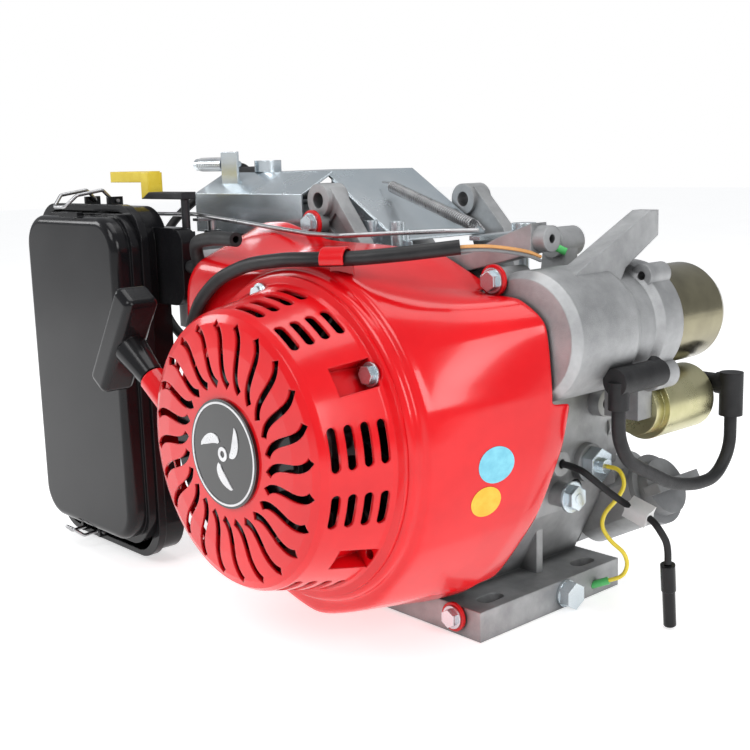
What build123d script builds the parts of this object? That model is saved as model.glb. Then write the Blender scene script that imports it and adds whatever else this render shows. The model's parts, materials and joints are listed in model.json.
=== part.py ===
from build123d import *
import os
from math import atan2, cos, degrees, pi, radians, sin, tan

# Small single-cylinder generator engine, millimetres.
# Origin: centre of the base bolt pattern, on the underside of the base.
# +X to the right seen from the recoil starter, +Y towards the output shaft, +Z up.

# Driving dimensions
CRANK_X = 37.5
CRANK_Z = 131.6
TILT = 25.0                      # cylinder axis above the horizontal, towards -X
BORE_R = 44.0
THROW = 32.0
ROD_LENGTH = 110.0
PIN_D = THROW + ROD_LENGTH       # wrist pin distance from the crank at top dead centre
DECK_D = 175.0                   # cylinder deck distance from the crank
HEAD_D = 228.0                   # top face of the cylinder head
CASE_FRONT, CASE_BACK = -48.0, 66.0
BASE_HALF_X, BASE_HALF_Y, BASE_T = 110.5, 69.0, 19.2
BOLT_X, BOLT_Y = 195.0, 92.0     # base bolt spacing
SLOT_R, SLOT_LENGTH = 5.5, 20.0
GEAR_MODULE = 2.0
CRANK_TEETH, CAM_TEETH = 24, 48
RING_TEETH, PINION_TEETH = 100, 24
GEAR_Y0, GEAR_Y1 = 54.5, 63.5
RING_Y0, RING_Y1 = -66.0, -55.0
CAM_DISTANCE = GEAR_MODULE * (CRANK_TEETH + CAM_TEETH) / 2
PUSH_V = -62.0                   # push rods, across from the cylinder axis
CAM_D = (CAM_DISTANCE**2 - PUSH_V**2) ** 0.5
VALVE_Y = 17.0
ROCKER_V = PUSH_V / 2
ROCKER_D = 248.0
STARTER_DISTANCE = GEAR_MODULE * (RING_TEETH + PINION_TEETH) / 2
STARTER_ANGLE = 28.7
STARTER_X = CRANK_X + STARTER_DISTANCE * cos(radians(STARTER_ANGLE))
STARTER_Z = CRANK_Z + STARTER_DISTANCE * sin(radians(STARTER_ANGLE))
NOSE_R, NOSE_FRONT = 38.0, -69.0  # starter nose
JOURNAL_R = 17.5
BEARING_R = 36.0
RUN = 0.05                       # radial clearance of running fits
RECOIL_BACK = -147.0
LUG_R = 87.0                     # recoil housing bolts, distance from the crank axis
SHROUD_FRONT, SHROUD_BACK = -138.0, -70.0
PULL = Vector(-0.836, 0, 0.549)  # direction in which the recoil rope leaves
ROPE_EXIT = Vector(-62, -180, 157)
FILLER = Vector(108, 84, 57)
FILLER_DIR = Vector(0.885, 0, 0.466)
GEN_PCD, GEN_HOLE_R = 165.1, 4.0  # generator flange: bolt circle and tapped hole
GEN_FACE_Y = 104.0
BOX_LEFT, BOX_RIGHT = -300.0, -148.0   # air cleaner
BOX_LOW, BOX_HIGH = 4.0, 265.0
THROTTLE_Y, CHOKE_Y = -76.0, -98.0
GOV_X, GOV_Y = 70.0, 20.0        # governor shaft
SOLENOID_X, SOLENOID_Z = 150.0, 136.0
SLEEVE_R = 4.2
SIDE_HOLE_R = 2.5                # tapped hole of the bracket beside the starter
BAIL_R = 1.3
DRAIN_Z = 9.8                    # height of the oil drain bolt
EAR_R = 9.7                      # shroud pads under their bolts

# Crankcase outline in X and Z, and the hollow inside it
CASE_OUTLINE = [
    (-84, 0), (75, 0), (75, 19), (96, 60), (103, 95), (103, 165), (88, 192), (55, 206),
    (-19.7, 226.7), (-68.7, 121.6), (-75.5, 107), (-84, 88),
]
CASE_HOLLOW = [
    (-77, 10), (68, 10), (90, 61), (98, 96), (98, 162), (84, 186), (52, 199),
    (8.7, 202.4), (-37.8, 102.7), (-77, 85),
]
# Fan shroud outline at its front and at its rear rim, X and Z
SHROUD_A = [
    (-90, 84), (-90, 214), (-74, 229), (-34, 227), (0, 227), (37, 230), (84, 221), (106, 206),
    (122, 190), (138, 160), (141, 128), (129, 80), (92, 38), (37, 18), (-20, 34), (-64, 60),
]
SHROUD_B = [
    (-98, 84), (-100, 212), (-96, 249), (-62, 251), (-20, 239), (60, 238), (116, 213), (145, 213),
    (164, 202), (168, 160), (162, 130), (144, 86), (108, 36), (50, 10), (-30, 12), (-84, 40),
]
SHROUD_BOLTS = [(90, 12), (126, 223), (-35, 251)]
SHROUD_SIDE = -54.0              # rear edge of the shroud beside the starter
# Side cover outline and bolts, X and Z
COVER_OUTLINE = [
    (-84, 24), (78, 24), (96, 60), (103, 95), (103, 165), (88, 192), (55, 206),
    (-6, 212), (-50, 160), (-84, 120),
]
COVER_BOLTS = [
    (-77, 40), (-77, 100), (-40, 158), (0, 200), (60, 198), (96, 150), (97, 110), (50, 32), (0, 30),
]

# Cylinder frame: local X across (up), local Y along the crank, local Z along the bore
BORE = Plane(
    origin=(CRANK_X, 0, CRANK_Z),
    x_dir=(sin(radians(TILT)), 0, cos(radians(TILT))),
    z_dir=(-cos(radians(TILT)), 0, sin(radians(TILT))),
).location


def at(d, v, y=0.0):
    """Point at distance d along the bore and v across it."""
    t = radians(TILT)
    return Vector(CRANK_X - d * cos(t) + v * sin(t), y, CRANK_Z + d * sin(t) + v * cos(t))


CAM = at(CAM_D, PUSH_V)
CAM_ANGLE = degrees(atan2(CAM.Z - CRANK_Z, CAM.X - CRANK_X))
PLUG_IN, PLUG_OUT = at(184, 20, -8), at(260, 52, -8)
PLUG_DIR = (PLUG_OUT - PLUG_IN).normalized()
CARB = at(202, 4)

# Cord routes: corner points of the straight runs
HT_ROUTE = [
    (-224, -8, 274), (-248, -12, 268), (-262, -32, 248), (-256, -56, 222), (-232, -72, 194),
    (-198, -80, 168), (-158, -84, 156), (-120, -86, 159), (-85, -89, 169),
]
CAP_END, COIL_END = Vector(*HT_ROUTE[0]), Vector(*HT_ROUTE[-1])
FUEL_ROUTE = [
    (CARB.X + 24, -112, 222), (-107, -112, 222), (-98, -121, 232), (-80, -133, 242),
    (-50, -140, 246), (-22, -142, 246),
]
CABLE_ROUTE = [
    (184, -32, 150), (184, -32, 134), (183, -22, 118), (181, 2, 106), (178, 32, 92), (176.5, 60, 86),
    (176, 82.4, 86), (176, 98, 101.6), (176, 98, 124),
]
WIRE_ROUTE = [
    (121, 42, 91), (131.2, 42, 91), (137, 40, 82), (133, 36, 72), (126, 33, 63), (122.5, 34, 53),
    (125, 40, 42), (131, 48, 33), (131, 52, 23.5), (127, 52, 14.5), (119, 47.5, 11),
]
BULLET_DIR = Vector(-0.08, 0.2, -0.976)
LEAD_END = Vector(182.5, 21, 44.5)
LEAD_ROUTE = [
    (112, 7, 98), (125, 7, 98), (134, 12, 90), (138, 22, 81), (146, 29, 73),
    (169.7, 21.5, 71.0), (178.6, 19.0, 65.1), LEAD_END - BULLET_DIR * 11, LEAD_END,
]
SLEEVE_ROUTE = [
    (-76, -144.5, 114), (-79, -144.5, 146), (-77, -144.5, 178), (-64, -145, 203), (-38, -146.5, 221),
    (-2, -148.5, 232.5), (36, -148.5, 237), (62, -147, 238), (84, -138, 238.8), (106, -122, 241),
    (128, -100, 244),
]


def block(x0, x1, y0, y1, z0, z1):
    return Pos((x0 + x1) / 2, (y0 + y1) / 2, (z0 + z1) / 2) * Box(x1 - x0, y1 - y0, z1 - z0)


def soft_block(x0, x1, y0, y1, z0, z1, radius):
    """Block with its corners rounded as seen along Y."""
    face = RectangleRounded(x1 - x0, z1 - z0, radius)
    return Pos((x0 + x1) / 2, y1, (z0 + z1) / 2) * extrude(Plane.XZ * face, y1 - y0)


def prism(points, y0, y1):
    """Polygon in X and Z, carried from y0 to y1."""
    face = make_face(Polyline(*points, close=True))
    return Pos(0, y1, 0) * extrude(Plane.XZ * face, y1 - y0)


def prism_x(points, x0, x1):
    """Polygon in Y and Z, carried from x0 to x1."""
    face = make_face(Polyline(*points, close=True))
    return Pos(x0, 0, 0) * extrude(Plane.YZ * face, x1 - x0)


def prism_plan(points, z0, z1):
    """Polygon in X and Y, carried from z0 to z1."""
    return Pos(0, 0, z0) * extrude(make_face(Polyline(*points, close=True)), z1 - z0)


def rod(start, end, radius):
    start, end = Vector(*start), Vector(*end)
    place = Plane(origin=start, z_dir=end - start)
    return place * Cylinder(radius, (end - start).length, align=(Align.CENTER, Align.CENTER, Align.MIN))


def tube(start, end, radius, inner):
    return rod(start, end, radius) - rod(start, end, inner)


def rod_y(x, z, radius, y0, y1):
    return rod((x, y0, z), (x, y1, z), radius)


def post(v, y, d0, d1, radius):
    """Cylinder along the bore direction, in the cylinder frame."""
    return Pos(v, y, (d0 + d1) / 2) * Cylinder(radius, d1 - d0)


def slab(v0, v1, y0, y1, d0, d1, radius=0):
    """Block in the cylinder frame, its corners rounded as seen along the bore."""
    if radius:
        face = RectangleRounded(v1 - v0, y1 - y0, radius)
        return Pos((v0 + v1) / 2, (y0 + y1) / 2, d0) * extrude(face, d1 - d0)
    return Pos((v0 + v1) / 2, (y0 + y1) / 2, (d0 + d1) / 2) * Box(v1 - v0, y1 - y0, d1 - d0)


def turned(profile, x=CRANK_X, z=CRANK_Z):
    """Solid of revolution about an axis along Y; the profile is (radius, y)."""
    return Pos(x, 0, z) * revolve(make_face(Polyline(*profile, close=True)), Axis.Y)


def around(shape, angle, x=CRANK_X, z=CRANK_Z):
    """Shape turned about an axis along Y, counter-clockwise seen from the front."""
    return Pos(x, 0, z) * Rot(0, -angle, 0) * Pos(-x, 0, -z) * shape


def hex_bolt(point, axis, size, shank, flange=True):
    """Hexagon bolt: the head lies on the axis side of the point, the shank on the other."""
    place = Plane(origin=point, z_dir=axis)
    head = extrude(RegularPolygon(size * 0.92, 6), size * 0.75)
    bolt = head + Pos(0, 0, -shank / 2) * Cylinder(size / 2, shank)
    if flange:
        bolt += Pos(0, 0, size * 0.1) * Cylinder(size * 1.15, size * 0.2)
    return place * bolt


def gear(teeth, y0, y1, phase, x, z, bore):
    """Spur gear with straight-flanked teeth; phase turns one tooth onto that angle."""
    pitch = GEAR_MODULE * teeth / 2
    root, tip = pitch - 1.25 * GEAR_MODULE, pitch + 0.95 * GEAR_MODULE
    half_pitch = GEAR_MODULE * pi / 4 - 0.2
    flank = tan(radians(20))
    points = []
    for i in range(teeth):
        centre = radians(phase + 360 * i / teeth)
        for radius, side in ((root, -1), (tip, -1), (tip, 1), (root, 1)):
            half = half_pitch - (radius - pitch) * flank
            turn = centre + side * half / radius
            points.append((x + radius * cos(turn), z + radius * sin(turn)))
    return prism(points, y0, y1) - rod_y(x, z, bore, y0 - 1, y1 + 1)


def cord(points, radius):
    """Round cord along straight runs joined by large tangent arcs."""
    points = [Vector(*p) for p in points]
    runs = [(b - a).length for a, b in zip(points, points[1:])]
    radii = []
    for i in range(1, len(points) - 1):
        turn = (points[i] - points[i - 1]).get_angle(points[i + 1] - points[i])
        radii.append(0.45 * min(runs[i - 1], runs[i]) / tan(radians(turn) / 2))
    path = FilletPolyline(*points, radius=radii)
    section = Plane(origin=points[0], z_dir=points[1] - points[0]) * Circle(radius)
    body = sweep(section, path=path)
    check = body.volume / (pi * radius**2 * path.length)
    print("cord length %.1f, radii %s, volume ratio %.4f"
          % (path.length, [round(r) for r in radii], check))
    return body


def bent_wire(points, radius, bend):
    """Bent wire with one bend radius."""
    path = FilletPolyline(*[Vector(*p) for p in points], radius=bend)
    start = Vector(*points[0])
    return sweep(Plane(origin=start, z_dir=Vector(*points[1]) - start) * Circle(radius), path=path)


PARTS = {}


def keep(name, shape):
    PARTS[name] = shape


# Casings -------------------------------------------------------------------------------

def base_slots():
    slot = extrude(SlotOverall(SLOT_LENGTH, 2 * SLOT_R, rotation=90), BASE_T + 10)
    return [Pos(x, y, -5) * slot for x in (-BOLT_X / 2, BOLT_X / 2) for y in (-BOLT_Y / 2, BOLT_Y / 2)]


def crankcase():
    fin_low, fin_high, fin_y = -76, 57, 60
    body = prism(CASE_OUTLINE, CASE_FRONT, CASE_BACK)
    body += block(-BASE_HALF_X, BASE_HALF_X, -BASE_HALF_Y, BASE_HALF_Y, 0, BASE_T)
    body += rod_y(CRANK_X, CRANK_Z, 46, -56, CASE_FRONT)
    body -= prism(CASE_HOLLOW, CASE_FRONT + 6, CASE_BACK + 5)
    body -= rod_y(CAM.X, CAM.Z, 53, 53.2, CASE_BACK + 5)
    barrel = post(0, 0, 55, DECK_D, 53) + slab(fin_low, fin_high, -fin_y, fin_y, DECK_D - 12, DECK_D, 12)
    for i in range(6):
        low = 98 + i * 11
        front = 53 if i == 0 else fin_y
        barrel += slab(fin_low, fin_high, -front, fin_y, low, low + 3, 12)
    for y in (-VALVE_Y, VALVE_Y):
        barrel += post(PUSH_V, y, 90, DECK_D, 10)
    body += BORE * barrel
    body += rod_y(CRANK_X, CRANK_Z, 46, CASE_FRONT, -36)
    body += rod_y(CAM.X, CAM.Z, 15, CASE_FRONT, -34)
    body -= BORE * post(0, 0, 30, DECK_D + 1, BORE_R)
    body -= BORE * slab(PUSH_V - 13, PUSH_V + 13, -31, 31, 40, 66)
    for y in (-VALVE_Y, VALVE_Y):
        body -= BORE * post(PUSH_V, y, 60, 95, 5 + RUN)
        body -= BORE * post(PUSH_V, y, 93, DECK_D + 1, 7)
    body -= rod_y(CRANK_X, CRANK_Z, BEARING_R, -53, -30)
    body -= rod_y(CRANK_X, CRANK_Z, JOURNAL_R + 1, -60, -30)
    body -= rod_y(CAM.X, CAM.Z, 9 + RUN, -44, -30)
    for slot in base_slots():
        body -= slot
    for x0, x1 in ((-72, -8), (8, 62)):
        body -= block(x0, x1, -60, 60, -1, 3)
    for y, z, r in ((53, 130, 9), (7, 98, 8), (42, 91, 13)):
        body += rod((97, y, z), (112 if r < 10 else 108, y, z), r)
    body -= rod((99, 53, 130), (113, 53, 130), 4)
    body -= rod((99, 7, 98), (113, 7, 98), 3)
    body -= rod((96, 42, 91), (109, 42, 91), 9)
    body += rod((95, 17, 74), (111, 17, 74), 8) - rod((97, 17, 74), (112, 17, 74), 4.6)
    body += block(84, 103, -44, -20, 100, 150)
    body += block(74, 90, 8, 14, 19, 56)
    body += rod_y(SHROUD_BOLTS[0][0], SHROUD_BOLTS[0][1], 7, SHROUD_BACK, -60)
    body -= prism(CASE_HOLLOW, CASE_FRONT + 6, CASE_BACK + 5)
    body += BORE * ((post(0, 0, 55, 70, 53) - post(0, 0, 50, 71, BORE_R)))
    body -= rod((111, 12, DRAIN_Z), (90, 12, DRAIN_Z), 5.1)
    keep("crankcase", body)


def side_cover():
    y0 = CASE_BACK
    body = prism(COVER_OUTLINE, y0, y0 + 12)
    body += rod_y(CRANK_X, CRANK_Z, 54, y0 + 12, 92)
    body += rod_y(CRANK_X, CRANK_Z, 44, y0 + 12, GEN_FACE_Y)
    body += rod_y(CAM.X, CAM.Z, 18, y0 + 12, y0 + 20)
    studs = []
    for angle in (45, 135, 225, 315):
        x = CRANK_X + GEN_PCD / 2 * cos(radians(angle))
        z = CRANK_Z + GEN_PCD / 2 * sin(radians(angle))
        body += rod_y(x, z, 12, y0 + 2, GEN_FACE_Y)
        rib = block(GEN_PCD / 4, GEN_PCD / 2 - 6, y0 + 11, 90, -4, 4)
        body += Pos(CRANK_X, 0, CRANK_Z) * Rot(0, -angle, 0) * rib
        studs.append(rod_y(x, z, GEN_HOLE_R, GEN_FACE_Y - 16, GEN_FACE_Y + 1))
    neck = rod(FILLER - FILLER_DIR * 34, FILLER + FILLER_DIR * 22, 21)
    body += neck - block(0, 200, -60, y0, 0, 140)
    for stud in studs:
        body -= stud
    for x, z in COVER_BOLTS:
        body += rod_y(x, z, 8, y0, y0 + 16)
    body -= rod_y(CRANK_X, CRANK_Z, BEARING_R, y0 - 1, 84)
    body -= rod_y(CRANK_X, CRANK_Z, JOURNAL_R + 1, y0, GEN_FACE_Y + 1)
    body -= rod_y(CAM.X, CAM.Z, 9 + RUN, y0 - 1, y0 + 12)
    body -= rod(FILLER - FILLER_DIR * 20, FILLER + FILLER_DIR * 30, 15)
    for x, z in COVER_BOLTS:
        body -= rod_y(x, z, 3.1, y0 - 1, y0 + 17)
    body -= rod_y(CRANK_X, CRANK_Z, 90, -10, y0)
    keep("side_cover", body)


def cylinder_head():
    v0, v1, y = -76, 57, 60
    body = slab(v0 + 6, v1 - 6, -y + 8, y - 8, DECK_D, HEAD_D, 10)
    for low in (DECK_D, DECK_D + 13, DECK_D + 24, DECK_D + 35):
        thick = 8 if low == DECK_D else 3
        body += slab(v0, v1, -y, y, low, low + thick, 12)
    body += slab(-20, 24, -y, -y + 12, 186, 222, 4)
    body += slab(-20, 24, y - 12, y, 186, 222, 4)
    body -= slab(-73, 20, -30, 30, HEAD_D - 8, HEAD_D + 1, 6)
    body -= post(0, 0, DECK_D - 1, DECK_D + 9, 38)
    for side, seat in ((-1, 16.4), (1, 14.9)):
        body -= post(0, side * VALVE_Y, DECK_D + 8, DECK_D + 12.5, seat)
        body -= post(0, side * VALVE_Y, DECK_D + 10, DECK_D + 30, 11)
        body -= Pos(0, side * VALVE_Y, DECK_D + 14.5) * Cone(seat, 4, 4.2)
        body -= post(0, side * VALVE_Y, DECK_D, HEAD_D, 3 + RUN)
        body -= Pos(4, side * (VALVE_Y + 23), DECK_D + 27) * Rot(90, 0, 0) * Cylinder(11, 50)
        body -= post(PUSH_V, side * VALVE_Y, DECK_D - 1, HEAD_D, 7)
    body = BORE * body
    body -= rod(PLUG_IN - PLUG_DIR * 6, PLUG_IN + PLUG_DIR * 90, 7)
    body -= rod(PLUG_IN + PLUG_DIR * 20, PLUG_IN + PLUG_DIR * 90, 12)
    keep("cylinder_head", body)


def rocker_cover():
    outer = slab(-78, 25, -36, 36, HEAD_D, HEAD_D + 42, 10)
    outer = fillet(outer.faces().sort_by(Axis.Z)[-1].edges(), 6)
    outer += slab(-82, 28, -40, 40, HEAD_D, HEAD_D + 3, 10)
    body = outer - slab(-75, 22, -33, 33, HEAD_D - 1, HEAD_D + 39, 8)
    body -= slab(24.5, 30, -22, 8, HEAD_D - 1, HEAD_D + 4)
    keep("rocker_cover", BORE * body)


def fasteners_case():
    group = []
    for x, z in COVER_BOLTS:
        group.append(hex_bolt((x, CASE_BACK + 16, z), (0, 1, 0), 6, 15.5))
    drain = hex_bolt((BASE_HALF_X + 2, 12, DRAIN_Z), (1, 0, 0), 10, 18, False)
    drain += rod((BASE_HALF_X, 12, DRAIN_Z), (BASE_HALF_X + 2, 12, DRAIN_Z), 9)
    group.append(drain)
    group.append(rod((103, 17, 74), (118, 17, 74), 3.2) + hex_bolt((111, 17, 74), (1, 0, 0), 9, 0.5))
    keep("case_bolts", Compound(children=group))


# Crank train ---------------------------------------------------------------------------

def crankshaft():
    def web(y0, y1):
        cheek = slab(-50, 50, y0, y1, -50, 6)
        disc = Pos(0, (y0 + y1) / 2, 0) * Rot(90, 0, 0) * Cylinder(50, y1 - y0)
        end = Pos(0, (y0 + y1) / 2, THROW) * Rot(90, 0, 0) * Cylinder(20, y1 - y0)
        return (cheek & disc) + end + slab(-20, 20, y0, y1, 0, THROW)

    body = BORE * (web(-30, -12) + web(12, 30))
    pin = at(THROW, 0)
    body += rod_y(pin.X, pin.Z, 16, -13, 13)
    body += rod_y(CRANK_X, CRANK_Z, JOURNAL_R, -62, -29)
    body += turned([(0, -62), (JOURNAL_R, -62), (JOURNAL_R, -72), (13, -111), (0, -111)])
    body += rod_y(CRANK_X, CRANK_Z, 8, -130, -110)
    body += rod_y(CRANK_X, CRANK_Z, JOURNAL_R, 29, 108)
    body += turned([(0, 108), (JOURNAL_R, 108), (JOURNAL_R - 1, 112), (12, 168), (11, 169), (0, 169)])
    body -= rod_y(CRANK_X, CRANK_Z, 4.3, 135, 170)
    body += gear(CRANK_TEETH, GEAR_Y0, GEAR_Y1, CAM_ANGLE, CRANK_X, CRANK_Z, 15)
    keep("crankshaft", body)


def camshaft():
    body = rod_y(CAM.X, CAM.Z, 9, -43, 77)
    half_tooth = 180 / CAM_TEETH
    body += gear(CAM_TEETH, GEAR_Y0, GEAR_Y1, CAM_ANGLE + 180 + half_tooth, CAM.X, CAM.Z, 8)
    for y, angle in ((-VALVE_Y, 30.0), (VALVE_Y, -70.0)):
        body += rod_y(CAM.X, CAM.Z, 11, y - 5, y + 5)
        nose = Pos(0, y, 9.5) * Rot(90, 0, 0) * Cylinder(6.5, 10)
        nose += slab(-8, 8, y - 5, y + 5, 0, 8)
        body += Pos(CAM.X, 0, CAM.Z) * Rot(0, -angle, 0) * nose
    keep("camshaft", body)


def connecting_rod():
    big = Pos(0, 0, THROW) * Rot(90, 0, 0) * Cylinder(24, 22)
    big += slab(-27, 27, -10, 10, THROW - 9, THROW + 9)
    blade = slab(-9, 9, -7, 7, THROW + 18, PIN_D - 14.5)
    blade -= slab(-5.5, 5.5, 3, 8, THROW + 28, PIN_D - 20)
    blade -= slab(-5.5, 5.5, -8, -3, THROW + 28, PIN_D - 20)
    body = big + blade
    body -= Pos(0, 0, THROW) * Rot(90, 0, 0) * Cylinder(16 + RUN, 30)
    keep("connecting_rod", BORE * body)


def piston():
    crown, skirt = DECK_D - 2, PIN_D - 13
    body = post(0, 0, skirt, crown, BORE_R - RUN)
    body -= post(0, 0, skirt - 1, crown - 8, 38)
    for y0, y1 in ((-39, -14), (14, 39)):
        body += Pos(0, (y0 + y1) / 2, PIN_D) * Rot(90, 0, 0) * Cylinder(13.5, y1 - y0)
    body -= Pos(0, 0, PIN_D) * Rot(90, 0, 0) * Cylinder(10, 100)
    rings = []
    for low in (crown - 5, crown - 9.5, crown - 15):
        groove = post(0, 0, low, low + 1.6, 40.5)
        body -= post(0, 0, low, low + 1.6, 60) - groove
        rings.append(BORE * (post(0, 0, low, low + 1.6, BORE_R - 0.01) - groove))
    keep("piston", Compound(children=[BORE * body] + rings))
    pin = Pos(0, 0, PIN_D) * Rot(90, 0, 0) * (Cylinder(10, 74) - Cylinder(6, 75))
    eye = Pos(0, 0, PIN_D) * Rot(90, 0, 0) * (Cylinder(14, 22) - Cylinder(10, 23))
    keep("wrist_pin", Compound(children=[BORE * pin, BORE * eye]))


def main_bearings():
    group = []
    for y0, y1 in ((-53, -36), (CASE_BACK + 1, 84)):
        outer = tube((CRANK_X, y0, CRANK_Z), (CRANK_X, y1, CRANK_Z), BEARING_R, 31)
        inner = tube((CRANK_X, y0, CRANK_Z), (CRANK_X, y1, CRANK_Z), 22, JOURNAL_R + RUN)
        middle = tube((CRANK_X, y0 + 3, CRANK_Z), (CRANK_X, y1 - 3, CRANK_Z), 31, 22)
        group.append(outer + inner + middle)
    keep("main_bearings", Compound(children=group))


# Valve gear ----------------------------------------------------------------------------

def valve_gear():
    for name, y, head in (("intake", -VALVE_Y, 16), ("exhaust", VALVE_Y, 14.5)):
        stem = post(0, y, DECK_D + 9, 246, 3)
        stem += post(0, y, DECK_D + 9, DECK_D + 11, head)
        stem += Pos(0, y, DECK_D + 13) * Cone(head, 3, 4)
        stem += post(0, y, 240, 243, 11)
        keep(name + "_valve", BORE * stem)
        arm = slab(PUSH_V - 5, 5, y - 7, y + 7, ROCKER_D - 1, ROCKER_D + 5, 3)
        arm -= slab(PUSH_V + 6, ROCKER_V - 10, y - 3, y + 3, ROCKER_D - 2, ROCKER_D + 6, 2)
        arm += Pos(ROCKER_V, y, ROCKER_D) * Rot(90, 0, 0) * Cylinder(5.2, 14)
        arm -= post(ROCKER_V, y, ROCKER_D - 6, ROCKER_D + 6, 5.8)
        keep(name + "_rocker", BORE * arm)
    springs = []
    rods = []
    for y in (-VALVE_Y, VALVE_Y):
        springs.append(BORE * (post(0, y, HEAD_D - 8, 239.8, 11) - post(0, y, HEAD_D - 9, 241, 8)))
        lifter = post(PUSH_V, y, 54, 57.5, 11) + post(PUSH_V, y, 57, 92, 5)
        rods.append(BORE * (lifter + post(PUSH_V, y, 91, ROCKER_D - 1.4, 3)))
        stud = post(ROCKER_V, y, HEAD_D - 8, ROCKER_D + 14, 4)
        stud += post(ROCKER_V, y, ROCKER_D + 7.5, ROCKER_D + 13, 7)
        rods.append(BORE * stud)
    keep("valve_springs", Compound(children=springs))
    keep("pushrods", Compound(children=rods))


# Flywheel and recoil starter -----------------------------------------------------------

def flywheel_set():
    rim = turned([
        (17.3, -73.8), (34, -73.8), (34, -84), (84, -84), (84, -68), (96, -68), (96, -108),
        (86, -108), (84, -98), (34, -98), (34, -111), (13.0, -111),
    ])
    ring = gear(RING_TEETH, RING_Y0, RING_Y1, STARTER_ANGLE, CRANK_X, CRANK_Z, 91)
    collar = turned([(84, -70), (94, -70), (94, -57), (84, -57)])
    keep("flywheel", rim + collar + ring)
    fan = turned([(36, -116), (86, -116), (86, -112.5), (86, -108.4), (36, -108.4)])
    blade = block(CRANK_X + 46, CRANK_X + 86, -141, -115, CRANK_Z - 1.3, CRANK_Z + 1.3)
    for i in range(20):
        fan += around(around(blade, -22, CRANK_X + 67), 18 * i)
    fan -= rod_y(CRANK_X, CRANK_Z, 36, -150, -100)
    keep("cooling_fan", fan)
    cup = turned([(9, -111.2), (35, -111.2), (35, -150), (33, -150), (33, -114), (9, -114)])
    for i in range(3):
        cup -= around(block(CRANK_X + 25, CRANK_X + 45, -144, -132, CRANK_Z - 8, CRANK_Z + 8), 120 * i)
    nut = Pos(CRANK_X, -114, CRANK_Z) * Rot(90, 0, 0) * extrude(RegularPolygon(14, 6), 12)
    nut -= rod_y(CRANK_X, CRANK_Z, 8, -140, -100)
    keep("starter_cup", cup + nut)


def s_slot():
    """One S-curved cooling slot of the recoil housing face, near the +X axis."""
    line = Spline((39, -5.5), (44, -1.2), (56, 1.0), (68, 3.2), (73.5, 8.0))
    face = trace(line, line_width=4.6)
    return Pos(CRANK_X, -190, CRANK_Z) * extrude(Plane.XZ * face, 14)


def recoil_housing():
    outer = [
        (0, -198.5), (34, -198.5), (60, -197.6), (74, -196), (78.5, -194.2), (81, -190.5),
        (90, -153.5), (91.5, -151.2), (96, -150.2), (96, -147),
    ]
    inner = [
        (90.6, -147), (89.2, -150.5), (88.2, -153.8), (79.3, -190), (77.2, -192.8), (73.6, -194.3),
        (60, -196), (34, -196.9), (0, -196.9),
    ]
    body = turned(outer + inner)
    body += rod_y(CRANK_X, CRANK_Z, 12, -197, -168)
    for i in range(24):
        body -= around(s_slot(), 15 * i)
    cutter = None
    for k in range(4):
        y = -186 + 9.6 * k
        radius = 84 + 2.3 * k
        for centre in (-12, 12):
            length = 24 if centre > 0 else 20
            face = SlotOverall(length, 5.6, rotation=90)
            slot = Pos(CRANK_X + radius - 8, y, CRANK_Z) * extrude(Plane.YZ * face, 16)
            slot = around(slot, centre)
            cutter = slot if cutter is None else cutter + slot
    for i in range(5):
        body -= around(cutter, -3 + 72 * i)
    envelope = turned(outer + [(0, -147)])
    for i in range(5):
        bump = block(CRANK_X + 77.5, CRANK_X + 97, -178, -147, CRANK_Z - 10, CRANK_Z + 10)
        recess = block(CRANK_X + 79.2, CRANK_X + 100, -176, -152.2, CRANK_Z - 8.4, CRANK_Z + 8.4)
        angle = 33 + 72 * i
        body += around(bump, angle) & envelope
        body -= around(recess, angle)
        body -= around(rod_y(CRANK_X + LUG_R, CRANK_Z, 3.1, -160, -140), angle)
    guide = rod(ROPE_EXIT - PULL * 22, ROPE_EXIT + PULL * 4, 9)
    body += guide - rod_y(CRANK_X, CRANK_Z, 80, -195, -150)
    body -= rod(ROPE_EXIT - PULL * 40, ROPE_EXIT + PULL * 10, 3.4)
    keep("recoil_housing", body)
    badge = rod_y(CRANK_X, CRANK_Z, 31.4, -200.4, -198.5)
    keep("recoil_badge", badge)


def recoil_parts():
    reel = turned([
        (12.3, -194), (56, -194), (56, -191), (50, -189),
        (50, -183), (56, -181), (56, -178), (12.3, -178),
    ])
    reel -= turned([(17, -195), (34, -195), (34, -184), (17, -184)])
    pawl = block(CRANK_X + 17, CRANK_X + 30, -178, -170, CRANK_Z - 4, CRANK_Z + 4)
    spring = None
    for radius in (19, 22.5, 26, 29.5):
        coil = tube((CRANK_X, -193, CRANK_Z), (CRANK_X, -185, CRANK_Z), radius + 0.6, radius)
        spring = [coil] if spring is None else spring + [coil]
    keep("recoil_reel", Compound(children=[reel + pawl + around(pawl, 180)] + spring))
    keep("recoil_rope", rod(ROPE_EXIT - PULL * 36, ROPE_EXIT + PULL * 14, 2.2))
    bar = Vector(-PULL.Z, 0, PULL.X) * -1
    centre = ROPE_EXIT + PULL * 44
    place = Plane(origin=centre, x_dir=bar, z_dir=PULL)
    grip = Box(76, 24, 20)
    grip = fillet(grip.edges(), 5)
    neck = Pos(0, 0, -10) * Cone(8, 11, 28, align=(Align.CENTER, Align.CENTER, Align.MAX))
    body = place * (grip + neck)
    body -= rod(ROPE_EXIT - PULL * 10, ROPE_EXIT + PULL * 14, 2.2)
    keep("recoil_handle", body)


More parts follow.
